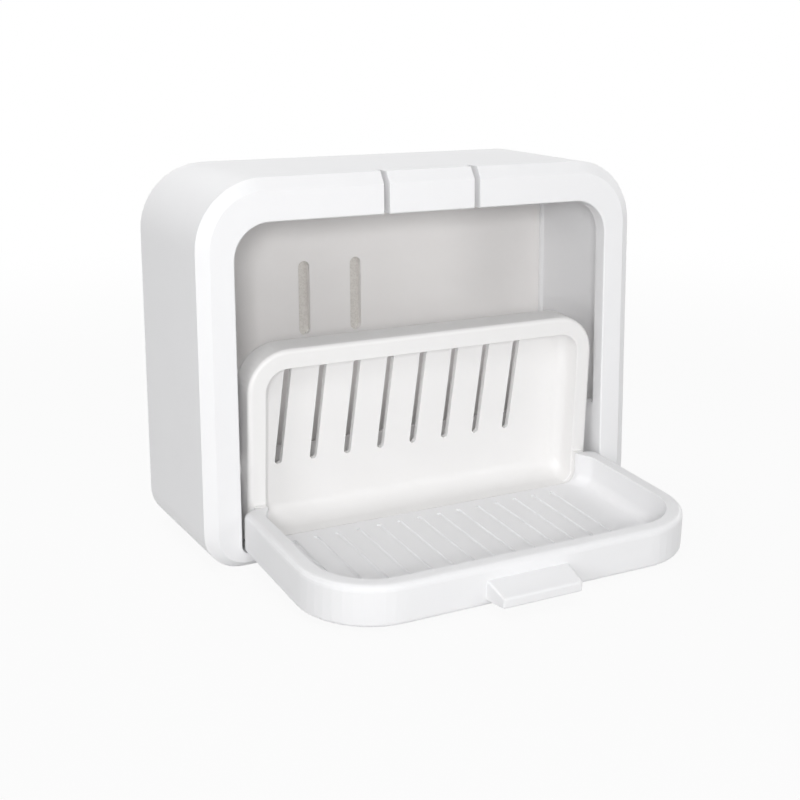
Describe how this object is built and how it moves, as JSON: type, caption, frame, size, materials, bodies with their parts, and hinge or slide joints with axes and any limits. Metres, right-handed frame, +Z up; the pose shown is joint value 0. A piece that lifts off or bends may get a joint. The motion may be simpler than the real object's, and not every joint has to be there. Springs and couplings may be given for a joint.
{
  "type": "soap holder with lid",
  "caption": "Box-shaped bathroom soap holder with a flip-down lid, a slotted drain tray that turns with it and a sprung latch finger.",
  "frame": {"origin": "middle of the housing's base, on the surface it stands on", "axes": "+X to the right seen from the front, +Y towards the wall behind, +Z up"},
  "size_m": [0.146, 0.1222, 0.1131],
  "materials": {
    "housing_plastic": "satin white moulding",
    "panel_plastic": "satin white moulding",
    "pad_foam": "fine grey foam",
    "finger_plastic": "satin white moulding",
    "door_plastic": "satin white moulding",
    "tray_plastic": "satin white moulding"
  },
  "bodies": {
    "box": {"housing": "housing_plastic", "back_panel": "panel_plastic", "wall_pad": "pad_foam"},
    "flip_unit": {"front_door": "door_plastic", "drain_tray": "tray_plastic"},
    "latch": {"latch_finger": "finger_plastic"}
  },
  "joints": [
    {"name": "lid_flip", "type": "hinge", "parent": "box", "child": "flip_unit", "pos_m": [0, -0.0146, 0.02695], "axis": [-1, 0, 0], "range_deg": [0, 94.05]},
    {"name": "latch_flex", "type": "hinge", "parent": "box", "child": "latch", "pos_m": [0, -0.0197, 0.1118], "axis": [-1, 0, 0], "range_deg": [0, 3], "stiffness_Nm_per_rad": 0.3}
  ]
}
